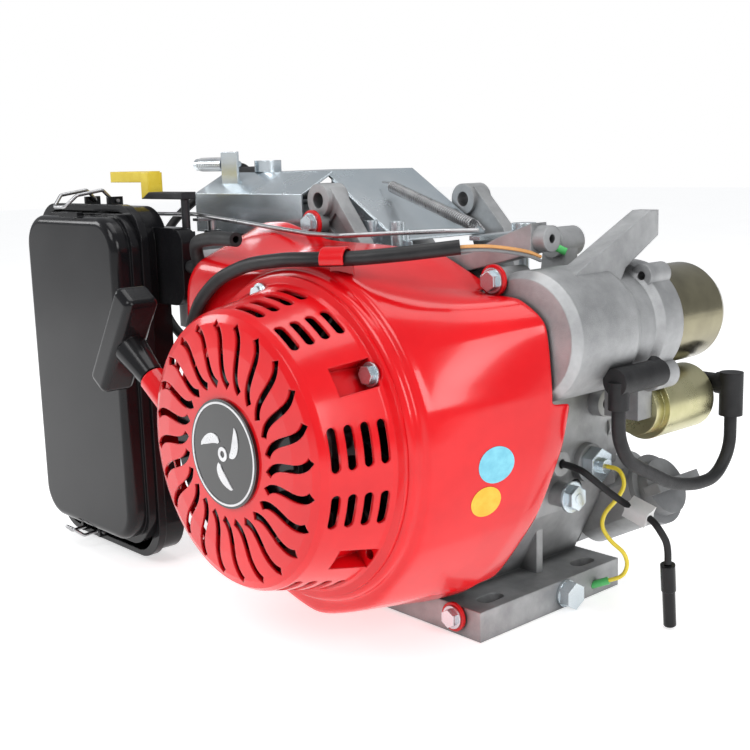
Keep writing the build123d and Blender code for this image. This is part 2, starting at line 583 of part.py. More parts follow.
def fan_shroud():
    def shell(inset, y0, y1):
        a = make_face(Polyline(*SHROUD_A, close=True))
        b = make_face(Polyline(*SHROUD_B, close=True))
        if inset:
            a = offset(a, -inset, kind=Kind.INTERSECTION)
            b = offset(b, -inset, kind=Kind.INTERSECTION)
        front = Pos(0, y0, 0) * (Plane.XZ * a)
        back = Pos(0, y1, 0) * (Plane.XZ * b)
        return loft([front.face(), back.face()], ruled=True)

    def shell_ring(y0, y1):
        outer = make_face(Polyline(*SHROUD_B, close=True))
        ring = outer - offset(outer, -2.0, kind=Kind.INTERSECTION)
        return Pos(0, y1, 0) * extrude(Plane.XZ * ring, y1 - y0)

    body = shell(0, SHROUD_FRONT, SHROUD_BACK)
    body -= shell(2.0, SHROUD_FRONT + 2, SHROUD_BACK + 0.5)
    body -= rod_y(CRANK_X, CRANK_Z, 94.5, SHROUD_FRONT - 1, SHROUD_FRONT + 3)
    body += turned([
        (82, RECOIL_BACK), (98, RECOIL_BACK), (98, -137), (94.5, -137), (94.5, -145), (82, -145),
    ])
    for i in range(5):
        body -= around(rod_y(CRANK_X + LUG_R, CRANK_Z, 3.1, -150, -138), 33 + 72 * i)
    side = shell_ring(SHROUD_BACK, SHROUD_SIDE)
    side &= block(60, 200, SHROUD_BACK - 1, SHROUD_SIDE, 36, 240)
    body += side - rod_y(STARTER_X, STARTER_Z, NOSE_R + 0.5, SHROUD_BACK, SHROUD_SIDE + 1)
    body -= rod(HT_ROUTE[-2], COIL_END, 5.5)
    body += block(-84, -68, -150, SHROUD_FRONT + 0.5, 110, 113.4)
    body += tube((66, -145.4, 238.2), (80, -139.6, 238.6), 8.2, SLEEVE_R + 1.8)
    body += block(68, 80, -138, -130, 214, 232)
    body += block(81, 99, SHROUD_BACK - 2, SHROUD_BACK, 12, 36)
    body += block(117, 135, SHROUD_BACK - 2, SHROUD_BACK, 211.5, 221)
    for x, z in SHROUD_BOLTS:
        body += rod_y(x, z, EAR_R, SHROUD_BACK - 2, SHROUD_BACK)
        body -= rod_y(x, z, 3.3, SHROUD_BACK - 3, SHROUD_BACK + 1)
    keep("fan_shroud", body)


def fasteners_shroud():
    group = []
    for i in (0, 1, 2, 3):
        bolt = around(hex_bolt((CRANK_X + LUG_R, -152.2, CRANK_Z), (0, -1, 0), 6, 8), 33 + 72 * i)
        group.append(bolt)
    for x, z in SHROUD_BOLTS:
        group.append(hex_bolt((x, SHROUD_BACK - 2, z), (0, -1, 0), 6.4, 2))
    keep("shroud_bolts", Compound(children=group))


# Ignition ------------------------------------------------------------------------------

def ignition():
    def leg(y0, y1, r0, r1, half):
        return block(CRANK_X + r0, CRANK_X + r1, y0, y1, CRANK_Z - half, CRANK_Z + half)

    core = leg(-98, -86, 96.5, 114, 26) - leg(-99, -85, 96, 108, 18)
    core += leg(-101, -83, 103, 119, 12)
    core += leg(-86, -60, 110, 114, 6)
    lead_in = (COIL_END - Vector(*HT_ROUTE[-2])).normalized()
    keep("ignition_coil", around(core, 162) + rod(COIL_END, COIL_END + lead_in * 14, 5))
    plug = rod(PLUG_IN, PLUG_IN + PLUG_DIR * 21, 6.9)
    plug += Plane(origin=PLUG_IN + PLUG_DIR * 20.5, z_dir=PLUG_DIR) * extrude(RegularPolygon(11, 6), 12)
    plug += rod(PLUG_IN + PLUG_DIR * 32, PLUG_IN + PLUG_DIR * 58, 5.5)
    plug += rod(PLUG_IN + PLUG_DIR * 58, PLUG_IN + PLUG_DIR * 64, 3)
    keep("spark_plug", plug)
    elbow = PLUG_IN + PLUG_DIR * 70
    cap = rod(PLUG_IN + PLUG_DIR * 40, elbow, 9.5) + Pos(elbow.X, elbow.Y, elbow.Z) * Sphere(9.5)
    inward = (CAP_END - Vector(*HT_ROUTE[1])).normalized()
    cap += rod(elbow, CAP_END + inward * 20, 9.5)
    cap += rod(CAP_END + inward * 18, CAP_END + inward * 24, 12)
    cap += rod(CAP_END, CAP_END + inward * 22, 7)
    cap -= rod(PLUG_IN + PLUG_DIR * 30, PLUG_IN + PLUG_DIR * 58.2, 5.5)
    cap -= rod(PLUG_IN + PLUG_DIR * 50, PLUG_IN + PLUG_DIR * 64.2, 3)
    keep("plug_cap", cap)
    keep("ht_lead", cord(HT_ROUTE, 3.5))


# Air cleaner, carburettor and fuel ------------------------------------------------------

def air_cleaner():
    base = soft_block(BOX_LEFT + 4, BOX_RIGHT - 6, -128, -108, BOX_LOW + 1, BOX_HIGH - 2, 26)
    base += soft_block(BOX_LEFT, BOX_RIGHT, -133, -127, BOX_LOW, BOX_HIGH, 28)
    base += soft_block(-214, CARB.X + 24, -118, -106, CARB.Z - 26, CARB.Z + 28, 12)
    base -= soft_block(BOX_LEFT + 7, BOX_RIGHT - 9, -134, -111, BOX_LOW + 4, BOX_HIGH - 5, 23)
    base -= block(-200, CARB.X + 12, -116, -109, CARB.Z - 14, CARB.Z + 14)
    base -= rod_y(CARB.X, CARB.Z, 13, -112, -100)
    for x in (-236.5, -203.5):
        base += block(x - 1.5, x + 1.5, -126, -114, BOX_HIGH - 4, BOX_HIGH + 5)
        base -= rod((x - 3, -119, BOX_HIGH + 2), (x + 3, -119, BOX_HIGH + 2), 1.45)
    for x in (-254, -228):
        base += block(x - 1.5, x + 1.5, -139.5, -132.9, 8, 15.5)
        base -= rod((x - 3, -137, 12), (x + 3, -137, 12), 1.45)
    keep("airbox_base", base)
    cover = soft_block(BOX_LEFT + 8, BOX_RIGHT - 2, -140, -133, BOX_LOW + 12, BOX_HIGH - 6, 26)
    cover += soft_block(BOX_LEFT + 15, BOX_RIGHT - 5, -153, -139, BOX_LOW + 17, BOX_HIGH - 8, 24)
    cover = fillet(cover.faces().sort_by(Axis.Y)[0].edges(), 6)
    cover -= soft_block(BOX_LEFT + 19, BOX_RIGHT - 9, -150, -132, BOX_LOW + 21, BOX_HIGH - 12, 20)
    cover += block(-234, -206, -150, -145, BOX_HIGH - 9, BOX_HIGH - 5)
    keep("airbox_cover", cover)
    element = soft_block(BOX_LEFT + 22, BOX_RIGHT - 14, -146, -122, BOX_LOW + 26, BOX_HIGH - 18, 16)
    element -= soft_block(BOX_LEFT + 40, BOX_RIGHT - 32, -147, -121, BOX_LOW + 44, BOX_HIGH - 36, 10)
    keep("air_filter", element)


def bails():
    y, z = -119, BOX_HIGH + 2
    top = bent_wire([
        (-240, y, z), (-232, y, z), (-232, -127, z + 8), (-232, -148, z + 5), (-228, -156, z - 3),
        (-212, -156, z - 3), (-208, -148, z + 5), (-208, -127, z + 8), (-208, y, z), (-200, y, z),
    ], BAIL_R, 3)
    keep("clip_top", top)
    y, z = -137, 12
    low = bent_wire([
        (-258, y, z), (-250, y, z), (-250, -150, z - 1), (-247, -157, z + 5), (-235, -157, z + 5),
        (-232, -150, z - 1), (-232, y, z), (-224, y, z),
    ], BAIL_R, 3)
    keep("clip_bottom", low)


def carburettor():
    x, z = CARB.X, CARB.Z
    body = rod_y(x, z, 19, -106, -60) + soft_block(x - 26, x + 26, -66, -60, z - 20, z + 20, 8)
    body += soft_block(x - 24, x + 24, -106, -102, z - 20, z + 20, 8)
    body += rod((x, -84, z - 44), (x, -84, z - 10), 20)
    body += rod((x, -84, z - 50), (x, -84, z - 43), 6)
    body += block(x - 22, x - 12, -98, -80, z - 10, z + 16)
    body += rod((x, THROTTLE_Y, z), (x, THROTTLE_Y, z + 24), 6)
    body += rod((x, CHOKE_Y, z), (x, CHOKE_Y, z + 24), 6)
    body -= rod_y(x, z, 13, -107, -59)
    body -= rod((x, THROTTLE_Y, z - 18), (x, THROTTLE_Y, z + 30), 3 + RUN)
    body -= rod((x, CHOKE_Y, z - 18), (x, CHOKE_Y, z + 30), 3 + RUN)
    keep("carburettor", body)
    shaft = rod((x, THROTTLE_Y, z - 17), (x, THROTTLE_Y, z + 34), 3)
    shaft += rod_y(x, z, 12, THROTTLE_Y - 0.7, THROTTLE_Y + 0.7)
    shaft += block(x - 3.5, x + 3.5, THROTTLE_Y - 14, THROTTLE_Y + 4, z + 31, z + 33)
    keep("throttle", shaft)
    lever = rod((x, CHOKE_Y, z - 17), (x, CHOKE_Y, z + 50), 3)
    lever += rod_y(x, z, 12, CHOKE_Y - 0.7, CHOKE_Y + 0.7)
    lever += block(-192, x + 5, CHOKE_Y - 6, CHOKE_Y + 6, z + 47, z + 52)
    lever += block(-192, -182, CHOKE_Y - 6, CHOKE_Y + 6, z + 47, z + 66)
    lever += block(-238, -182, CHOKE_Y - 4.5, CHOKE_Y + 4.5, z + 59, z + 67)
    keep("choke_lever", lever)
    keep("fuel_hose", cord(FUEL_ROUTE, 4.5) - cord(FUEL_ROUTE, 2.2))


# Sheet metal and brackets on top ---------------------------------------------------------

def sheets():
    front = [(-62.4, 241.5), (-62.4, 270), (-34, 284.6), (-34, 283), (-61, 269.2), (-61, 241.5)]
    shield = prism_x(front, -184, -56)
    shield += block(-150, -72, -34.5, 46, 283, 284.6)
    shield += block(-150, -72, 44.6, 46, 280.5, 284.6)
    shield += rod((-140, -26, 284.6), (-140, -26, 293), 10)
    keep("head_shield", shield)
    slope = [(-72, 284.6), (-64, 284.6), (8, 240), (8, 238.2), (-64.6, 283.2), (-72, 283.2)]
    plate = prism(slope, -34, 50)
    flange = [(-56, 279), (8, 239.4), (22, 239.4), (22, 232), (-56, 245)]
    plate += prism(flange, -35.4, -34)
    for x in (-14, 12):
        plate += rod((x, -38, 236), (x, -38, 252), 5) + rod((x, -34, 236), (x, -34, 247), 5)
    plate -= block(-100, 60, -34, 10, 200, 236)
    keep("top_plate", plate)
    upright = block(-166, -146, -50, -48, 272, 300) + block(-166, -146, -50, -36, 276.8, 278.8)
    upright += block(-166, -164, -50, -40, 277, 300)
    upright -= prism_x(
        [(-70, 200), (-70, 270), (-62.4, 270), (-34, 284.6), (-30, 284.6), (-30, 200)], -170, -140,
    )
    screw = rod((-200, -45, 291), (-150, -45, 291), 2.2)
    screw += rod((-204, -45, 291), (-200, -45, 291), 4.5)
    coil = rod((-199, -45, 291), (-168, -45, 291), 5) - rod((-200, -45, 291), (-167, -45, 291), 2.4)
    upright -= rod((-210, -45, 291), (-140, -45, 291), 2.3)
    keep("control_bracket", Compound(children=[upright, screw, coil]))


def top_brackets():
    front = prism([(-46, 262), (-28, 274), (0, 240), (12, 218), (-14, 225.2), (-30, 244)], -60, -49)
    front += rod_y(-36.5, 266, 11, -64, -46)
    front -= rod_y(CRANK_X, CRANK_Z, 104, -67, -54)
    front += rod_y(SHROUD_BOLTS[2][0], SHROUD_BOLTS[2][1], 6, SHROUD_BACK, -50)
    front += prism([(-14, 225.2), (14, 217.4), (14, 227), (-14, 235)], -52, -24)
    front -= rod_y(-36.5, 266, 5.25, -70, -40)
    front -= prism([(-32, 250), (-24, 258), (-6, 238), (-12, 234)], -61, -58)
    back = prism([(-24, 256), (-6, 271), (22, 242), (34, 212), (-4, 222.4), (-10, 240)], 54, 65)
    back += rod_y(-14, 262, 11, 51, 69)
    back -= rod_y(-14, 262, 5.25, 40, 80)
    side = prism([(58, 200), (92, 186), (96, 228), (60, 231)], -46, -34)
    side += prism(
        [(60, 231), (84, 224), (116, 231.5), (138, 237.4), (138.6, 254.4), (112, 245.2), (92, 236)], -53, -40,
    )
    side += rod((132, -45, 245.5), (147, -45, 245.5), 7.5)
    side -= rod((134, -45, 245.5), (150, -45, 245.5), SIDE_HOLE_R)
    rear = prism([(93, 238), (111, 238), (106, 178), (86, 186)], 12, 24)
    rear += rod_y(102, 238, 9.5, 8, 30)
    rear -= rod_y(102, 238, 4.1, 0, 40)
    solid_case = prism(CASE_OUTLINE, -70, 80)
    group = [front - solid_case, back - solid_case, side - solid_case, rear - solid_case]
    keep("top_brackets", Compound(children=group))


# Governor --------------------------------------------------------------------------------

def governor():
    shaft = rod((GOV_X, GOV_Y, 204), (GOV_X, GOV_Y, 246), 3.5)
    arm = prism_plan([(64, 26), (76, 26), (79.5, -32), (70.5, -32)], 241, 244)
    arm += rod((GOV_X, GOV_Y, 238), (GOV_X, GOV_Y, 249), 8)
    keep("governor_lever", shaft + arm)
    keep("governor_rod", bent_wire([
        (-187, -97, 256.5), (-144, -90, 256.5), (-20, -86, 246), (8, -84, 245.4), (58, -40, 247),
        (75, -28, 247),
    ], 1.5, 6))
    spring = rod((-34, 0, 273), (62, -16, 248.5), 4)
    keep("governor_spring", spring - rod((-50, 2.6, 277.1), (80, -19, 243.9), 2.6))


# Electric starter ------------------------------------------------------------------------

def starter():
    x, z = STARTER_X, STARTER_Z
    nose = turned([
        (0, NOSE_FRONT), (NOSE_R - 4, NOSE_FRONT), (NOSE_R, NOSE_FRONT + 5), (NOSE_R, -14),
        (33, -4), (33, 10), (37, 14), (37, 32), (0, 32),
    ], x, z)
    nose += block(92, x - 10, -46, 6, z - 34, z - 6)
    nose += prism_x(
        [(-50, z + 6), (-44, 226), (26, 258), (34, 258), (34, 243), (2, 226), (-16, z + 6)], 150, 163,
    )
    nose += block(138, 163, 16, 30, 132, 166) + rod_y(x + 26, z - 30, 9, 12, 32)
    nose += rod_y(SHROUD_BOLTS[1][0], SHROUD_BOLTS[1][1], 7, SHROUD_BACK, -46)
    for angle in (55, 235):
        lug_x, lug_z = x + 36 * cos(radians(angle)), z + 36 * sin(radians(angle))
        nose += rod_y(lug_x, lug_z, 7, 12, 32)
        nose -= rod_y(lug_x, lug_z, 2.6, 11, 33)
    nose -= rod_y(x, z, 28.5, NOSE_FRONT + 2.5, -33)
    nose -= rod_y(x, z, 6 + RUN, -40, 12)
    nose -= prism(CASE_OUTLINE, -70, 80)
    nose -= rod_y(CRANK_X, CRANK_Z, 104, NOSE_FRONT - 1, -50)
    keep("starter_nose", nose)
    can = turned([(0, 32), (31, 32), (31, 84), (28, 90), (12, 90), (12, 94), (0, 94)], x, z)
    keep("starter_can", can)
    pinion = rod_y(x, z, 6, -50, 8)
    pinion += gear(PINION_TEETH, -50, -39, STARTER_ANGLE + 180 + 180 / PINION_TEETH, x, z, 5)
    keep("starter_pinion", pinion)
    body = rod_y(SOLENOID_X, SOLENOID_Z, 21, 38, 86) + rod_y(SOLENOID_X, SOLENOID_Z, 17, 30, 39)
    body += rod_y(SOLENOID_X, SOLENOID_Z, 18, 85, 90)
    body += rod_y(SOLENOID_X + 6, SOLENOID_Z + 8, 4, 90, 97)
    keep("solenoid", body)
    front_boot = rod((184, -36, 166), (184, 6, 166), 8) + rod((184, -32, 166), (184, -32, 150), 6)
    front_boot += rod((184, 0, 166), (180, 6, 172), 5)
    front_boot -= rod_y(x, z, 38, -60, 40)
    rear_boot = rod((176, 98, 124), (176, 98, 152), 7.5) + rod((176, 98, 144), (166, 98, 144), 7)
    rear_boot += rod((168, 98, 144), (154, 98, 144), 6)
    rear_boot -= rod_y(SOLENOID_X + 6, SOLENOID_Z + 8, 4, 85, 97)
    keep("terminal_boots", Compound(children=[front_boot, rear_boot]))
    keep("starter_cable", cord(CABLE_ROUTE, 4))


# Oil side, wires and sleeve ---------------------------------------------------------------

def oil_side():
    body = rod((97, 42, 91), (108, 42, 91), 8.9)
    body += Plane(origin=(108, 42, 91), z_dir=(1, 0, 0)) * extrude(RegularPolygon(11.5, 6), 9)
    body += rod((117, 42, 91), (121, 42, 91), 5)
    keep("oil_level_switch", body)
    top = FILLER + FILLER_DIR * 22
    place = Plane(origin=top, x_dir=(0, 1, 0), z_dir=FILLER_DIR)
    cap = Cylinder(24, 4, align=(Align.CENTER, Align.CENTER, Align.MIN))
    cap += Pos(0, 0, 4) * Cylinder(19, 8, align=(Align.CENTER, Align.CENTER, Align.MIN))
    cap += Pos(0, 0, 17) * Box(46, 7, 12)
    cap += Pos(0, 0, -12) * Cylinder(14.9, 12, align=(Align.CENTER, Align.CENTER, Align.MIN))
    cap += Pos(0, 0, -38) * Cylinder(3, 30, align=(Align.CENTER, Align.CENTER, Align.MIN))
    keep("filler_cap", place * cap)
    keep("switch_wire", cord(WIRE_ROUTE, 1.4))
    wire_end = Vector(*WIRE_ROUTE[-1])
    wire_dir = (wire_end - Vector(*WIRE_ROUTE[-2])).normalized()
    terminal = rod(wire_end, wire_end + wire_dir * 13, 2.6)
    keep("wire_terminal", terminal - block(100, BASE_HALF_X, 20, 60, 0, 30))
    keep("tagged_lead", cord(LEAD_ROUTE, 2.2))
    bullet = rod(LEAD_END, LEAD_END + BULLET_DIR * 18, 4.6)
    bullet += rod(LEAD_END + BULLET_DIR * 17, LEAD_END + BULLET_DIR * 43, 4.0)
    keep("lead_connector", bullet)
    keep("harness_sleeve", cord(SLEEVE_ROUTE, SLEEVE_R))


MAKERS = [
    crankcase, side_cover, cylinder_head, rocker_cover, fasteners_case, crankshaft, camshaft,
    connecting_rod, piston, main_bearings, valve_gear, flywheel_set, recoil_housing, recoil_parts,
    fan_shroud, fasteners_shroud, ignition, air_cleaner, bails, carburettor, sheets, top_brackets,
    governor, starter, oil_side,
]

for make in MAKERS:
    make()

os.makedirs("parts", exist_ok=True)
for name, shape in PARTS.items():
    export_step(shape, "parts/%s.step" % name)
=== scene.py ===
import json
from math import cos, pi, radians, sin

import bmesh
import bpy
from mathutils import Matrix, Vector


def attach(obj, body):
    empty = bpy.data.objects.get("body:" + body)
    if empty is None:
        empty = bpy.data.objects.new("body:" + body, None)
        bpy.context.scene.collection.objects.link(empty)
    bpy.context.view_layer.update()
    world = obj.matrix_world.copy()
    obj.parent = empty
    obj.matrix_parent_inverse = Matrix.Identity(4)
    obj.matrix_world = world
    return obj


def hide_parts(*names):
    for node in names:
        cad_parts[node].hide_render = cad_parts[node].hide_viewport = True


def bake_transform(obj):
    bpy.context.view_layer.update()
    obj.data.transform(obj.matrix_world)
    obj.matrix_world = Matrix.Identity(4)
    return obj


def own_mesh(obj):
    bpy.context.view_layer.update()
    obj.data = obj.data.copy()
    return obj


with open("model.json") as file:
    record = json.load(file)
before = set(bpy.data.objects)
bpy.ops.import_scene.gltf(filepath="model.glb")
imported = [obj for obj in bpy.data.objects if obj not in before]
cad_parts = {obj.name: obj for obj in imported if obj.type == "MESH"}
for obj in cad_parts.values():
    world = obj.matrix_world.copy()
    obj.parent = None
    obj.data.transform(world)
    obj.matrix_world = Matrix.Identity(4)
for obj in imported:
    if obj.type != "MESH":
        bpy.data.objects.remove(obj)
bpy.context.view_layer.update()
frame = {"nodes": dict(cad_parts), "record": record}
NODES = frame["nodes"]
MM = 0.001


# Materials ------------------------------------------------------------------------------

class Look:
    """A node material under construction, with short calls for the nodes used often."""

    def __init__(self, name):
        self.material = bpy.data.materials.new(name)
        self.material.use_nodes = True
        self.tree = self.material.node_tree
        self.shader = self.tree.nodes["Principled BSDF"]
        self.place = self.tree.nodes.new("ShaderNodeTexCoord")

    def add(self, kind, **values):
        node = self.tree.nodes.new(kind)
        for key, value in values.items():
            if hasattr(node, key):
                setattr(node, key, value)
            else:
                node.inputs[key.replace("_", " ")].default_value = value
        return node

    def link(self, output, target):
        self.tree.links.new(output, target)

    def noise(self, scale, detail=3.0, roughness=0.55, stretch=None):
        node = self.add("ShaderNodeTexNoise", Scale=scale, Detail=detail, Roughness=roughness)
        source = self.place.outputs["Object"]
        if stretch:
            mapping = self.add("ShaderNodeMapping", Scale=stretch)
            self.link(source, mapping.inputs["Vector"])
            source = mapping.outputs["Vector"]
        self.link(source, node.inputs["Vector"])
        return node.outputs["Fac"]

    def ramp(self, factor, low, high, start=0.35, end=0.65):
        node = self.add("ShaderNodeValToRGB")
        node.color_ramp.elements[0].position = start
        node.color_ramp.elements[1].position = end
        node.color_ramp.elements[0].color = low
        node.color_ramp.elements[1].color = high
        self.link(factor, node.inputs["Fac"])
        return node.outputs["Color"]

    def span(self, factor, low, high):
        node = self.add("ShaderNodeMapRange", From_Min=0.3, From_Max=0.7, To_Min=low, To_Max=high)
        self.link(factor, node.inputs["Value"])
        return node.outputs["Result"]

    def mix(self, factor, a, b):
        node = self.tree.nodes.new("ShaderNodeMix")
        node.data_type = "RGBA"
        for value, socket in ((factor, node.inputs["Factor"]), (a, node.inputs[6]), (b, node.inputs[7])):
            if isinstance(value, (float, int, tuple)):
                socket.default_value = value
            else:
                self.link(value, socket)
        return node.outputs[2]

    def crevice_shade(self, distance):
        # Ambient occlusion factor, which finish() uses to paint shade into crevices.
        node = self.add("ShaderNodeAmbientOcclusion", samples=6)
        node.inputs["Distance"].default_value = distance
        return node.outputs["AO"]


def rgb(r, g, b):
    return (r, g, b, 1.0)


def finish(name, low, high, metal, rough, patch=60.0, grain=900.0, bump=0.1, round_mm=0.7, coat=0.0,
           painted_shade=0.35, stretch=None, specular=0.5):
    """Base look: two tones in patches, a grain in roughness and relief, soft edges, and painted shade where
    ambient occlusion darkens the colour in crevices.
    """
    look = Look(name)
    tone = look.ramp(look.noise(patch, 4.0, 0.6), low, high)
    # Painted shade: ambient occlusion darkens the base colour in crevices and gaps between parts, by the
    # given share.
    if painted_shade:
        shade = look.crevice_shade(0.012)
        dark = tuple(c * (1 - painted_shade) for c in low[:3]) + (1.0,)
        tone = look.mix(look.span(shade, 0.0, 1.0), dark, tone)
    look.link(tone, look.shader.inputs["Base Color"])
    look.shader.inputs["Metallic"].default_value = metal
    look.shader.inputs["Specular IOR Level"].default_value = specular
    look.shader.inputs["Coat Weight"].default_value = coat
    look.shader.inputs["Coat Roughness"].default_value = 0.06
    fine = look.noise(grain, 5.0, 0.6, stretch)
    wide = look.noise(patch * 2.3, 3.0, 0.5)
    both = look.add("ShaderNodeMath", operation="MULTIPLY_ADD")
    look.link(fine, both.inputs[0])
    both.inputs[1].default_value = 0.5
    half = look.add("ShaderNodeMath", operation="MULTIPLY")
    look.link(wide, half.inputs[0])
    half.inputs[1].default_value = 0.5
    look.link(half.outputs[0], both.inputs[2])
    look.link(look.span(both.outputs[0], rough[0], rough[1]), look.shader.inputs["Roughness"])
    edge = look.add("ShaderNodeBevel", samples=4)
    edge.inputs["Radius"].default_value = round_mm * MM
    relief = look.add("ShaderNodeBump")
    relief.inputs["Strength"].default_value = bump
    relief.inputs["Distance"].default_value = 0.0006
    look.link(fine, relief.inputs["Height"])
    look.link(edge.outputs["Normal"], relief.inputs["Normal"])
    look.link(relief.outputs["Normal"], look.shader.inputs["Normal"])
    return look.material


# In each look, the crevice-darkening share is painted shade: ambient occlusion darkens the colour in
# crevices and between parts.
LOOKS = {
    "red_paint": finish("red_paint", rgb(0.62, 0.002, 0.006), rgb(0.74, 0.006, 0.010), 0.0, (0.14, 0.24),
                        patch=14, grain=520, bump=0.03, round_mm=1.4, coat=0.25, painted_shade=0.5, specular=0.35),
    "cast_aluminium": finish("cast_aluminium", rgb(0.33, 0.335, 0.34), rgb(0.47, 0.475, 0.48), 0.78,
                             (0.42, 0.62), patch=40, grain=1300, bump=0.42, round_mm=1.3, painted_shade=0.6),
    "steel": finish("steel", rgb(0.34, 0.34, 0.345), rgb(0.50, 0.50, 0.51), 1.0, (0.22, 0.40),
                    patch=50, grain=1500, bump=0.08, round_mm=0.4, stretch=(1, 1, 0.15)),
    "zinc_plated": finish("zinc_plated", rgb(0.58, 0.66, 0.71), rgb(0.76, 0.81, 0.84), 0.9, (0.2, 0.3),
                          patch=9, grain=45, bump=0.02, round_mm=0.9, painted_shade=0.3),
    "dark_steel": finish("dark_steel", rgb(0.018, 0.018, 0.02), rgb(0.035, 0.035, 0.038), 0.3, (0.3, 0.45),
                         bump=0.15, round_mm=1.2),
    "black_plastic": finish("black_plastic", rgb(0.006, 0.006, 0.007), rgb(0.012, 0.012, 0.013), 0.0,
                            (0.12, 0.2), patch=18, grain=900, bump=0.03, round_mm=1.2, painted_shade=0.2,
                            specular=0.25),
    "grey_plastic": finish("grey_plastic", rgb(0.17, 0.175, 0.18), rgb(0.22, 0.225, 0.23), 0.0, (0.38, 0.52),
                           grain=1100, bump=0.15, round_mm=1.0),
    "yellow_plastic": finish("yellow_plastic", rgb(0.80, 0.58, 0.03), rgb(0.90, 0.70, 0.07), 0.0,
                             (0.25, 0.38), grain=800, bump=0.05, round_mm=1.2),
    "badge_black": finish("badge_black", rgb(0.004, 0.004, 0.004), rgb(0.008, 0.008, 0.008), 0.0,
                          (0.12, 0.2), bump=0.02, round_mm=0.3, coat=0.5, painted_shade=0.0),
    "black_rubber": finish("black_rubber", rgb(0.010, 0.010, 0.011), rgb(0.020, 0.020, 0.021), 0.0,
                           (0.42, 0.6), grain=1500, bump=0.2, round_mm=0.8, specular=0.3),
    "cable_sleeve": finish("cable_sleeve", rgb(0.008, 0.008, 0.009), rgb(0.018, 0.018, 0.019), 0.0,
                           (0.3, 0.45), grain=1800, bump=0.25, round_mm=0.5, specular=0.35),
    "rope": finish("rope", rgb(0.55, 0.54, 0.50), rgb(0.70, 0.69, 0.65), 0.0, (0.75, 0.9), grain=2500,
                   bump=0.8, round_mm=0.3),
    "filter_foam": finish("filter_foam", rgb(0.03, 0.03, 0.03), rgb(0.08, 0.08, 0.08), 0.0, (0.8, 0.95),
                          grain=700, bump=1.0, round_mm=1.0),
    "yellow_wire": finish("yellow_wire", rgb(0.75, 0.58, 0.03), rgb(0.85, 0.68, 0.06), 0.0, (0.35, 0.5),
                          bump=0.05, round_mm=0.3),
    "starter_can": finish("starter_can", rgb(0.20, 0.18, 0.12), rgb(0.36, 0.33, 0.22), 1.0, (0.14, 0.26),
                          patch=18, grain=600, bump=0.04, round_mm=1.0),
    "solenoid_zinc": finish("solenoid_zinc", rgb(0.50, 0.48, 0.26), rgb(0.66, 0.62, 0.38), 1.0,
                            (0.24, 0.38), patch=30, grain=800, bump=0.06, round_mm=0.8),
    "green_plastic": finish("green_plastic", rgb(0.06, 0.42, 0.10), rgb(0.10, 0.55, 0.16), 0.0,
                            (0.25, 0.4), bump=0.05, round_mm=0.6),
    "copper_wire": finish("copper_wire", rgb(0.55, 0.26, 0.08), rgb(0.66, 0.34, 0.12), 0.0, (0.35, 0.5),
                          bump=0.05, round_mm=0.2),
    "white_plastic": finish("white_plastic", rgb(0.68, 0.69, 0.68), rgb(0.78, 0.78, 0.77), 0.0, (0.35, 0.5),
                            bump=0.05, round_mm=0.5),
    "silver_print": finish("silver_print", rgb(0.60, 0.60, 0.61), rgb(0.72, 0.72, 0.73), 0.6, (0.25, 0.35),
                           bump=0.03, round_mm=0.2, painted_shade=0.0),
    "blue_label": finish("blue_label", rgb(0.15, 0.48, 0.62), rgb(0.22, 0.60, 0.72), 0.2, (0.3, 0.42),
                         patch=150, bump=0.03, round_mm=0.1, painted_shade=0.0),
    "orange_label": finish("orange_label", rgb(0.80, 0.42, 0.02), rgb(0.88, 0.52, 0.05), 0.2, (0.3, 0.42),
                           patch=150, bump=0.03, round_mm=0.1, painted_shade=0.0),
}

SLOT_OF = {entry["node"]: entry["material_slot"] for entry in frame["record"]["subparts"]}


def paint(obj, look):
    obj.data.materials.clear()
    obj.data.materials.append(LOOKS[look])


def shade(obj, angle=32.0):
    """Smooth shading with edges sharper than the angle kept."""
    mesh = obj.data
    mesh.polygons.foreach_set("use_smooth", [True] * len(mesh.polygons))
    work = bmesh.new()
    work.from_mesh(mesh)
    for edge in work.edges:
        edge.smooth = len(edge.link_faces) == 2 and edge.calc_face_angle(0) < radians(angle)
    work.to_mesh(mesh)
    work.free()


for name, obj in NODES.items():
    paint(obj, SLOT_OF[name])


def two_looks(obj, look, chosen):
    """Second look on the faces whose centre passes the test, in millimetres."""
    obj.data.materials.append(LOOKS[look])
    last = len(obj.data.materials) - 1
    for face in obj.data.polygons:
        if chosen(obj.matrix_world @ face.center / MM):
            face.material_index = last


two_looks(NODES["choke_lever"], "dark_steel", lambda p: p.x > -183 and p.z < 274)
two_looks(NODES["carburettor"], "dark_steel", lambda p: p.z > 232)


# Mesh builders --------------------------------------------------------------------------

COIL_STEPS = 14                          # points in one turn of a coil


def mesh_piece(name, verts, faces, look, body="engine", smooth=32.0):
    data = bpy.data.meshes.new(name)
    data.from_pydata([Vector(v) * MM for v in verts], [], faces)
    data.validate()
    obj = bpy.data.objects.new(name, data)
    bpy.context.scene.collection.objects.link(obj)
    paint(obj, look)
    if smooth:
        shade(obj, smooth)
    if body:
        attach(obj, body)
    return obj


def modify(obj, kind, **values):
    modifier = obj.modifiers.new(kind.lower(), kind)
    for key, value in values.items():
        setattr(modifier, key, value)


def walls(sides, rows=1):
    """Four-sided faces between rows of points, each row a closed loop."""
    faces = []
    for i in range(rows):
        for k in range(sides):
            j = (k + 1) % sides
            faces.append((i * sides + k, i * sides + j, (i + 1) * sides + j, (i + 1) * sides + k))
    return faces


def caps(sides, rows=1):
    """One face over the first loop of points and one over the last."""
    return [tuple(range(sides))[::-1], tuple(rows * sides + k for k in range(sides))]


def circle_point(centre, a, b, radius, turn):
    return centre + (a * cos(turn) + b * sin(turn)) * radius


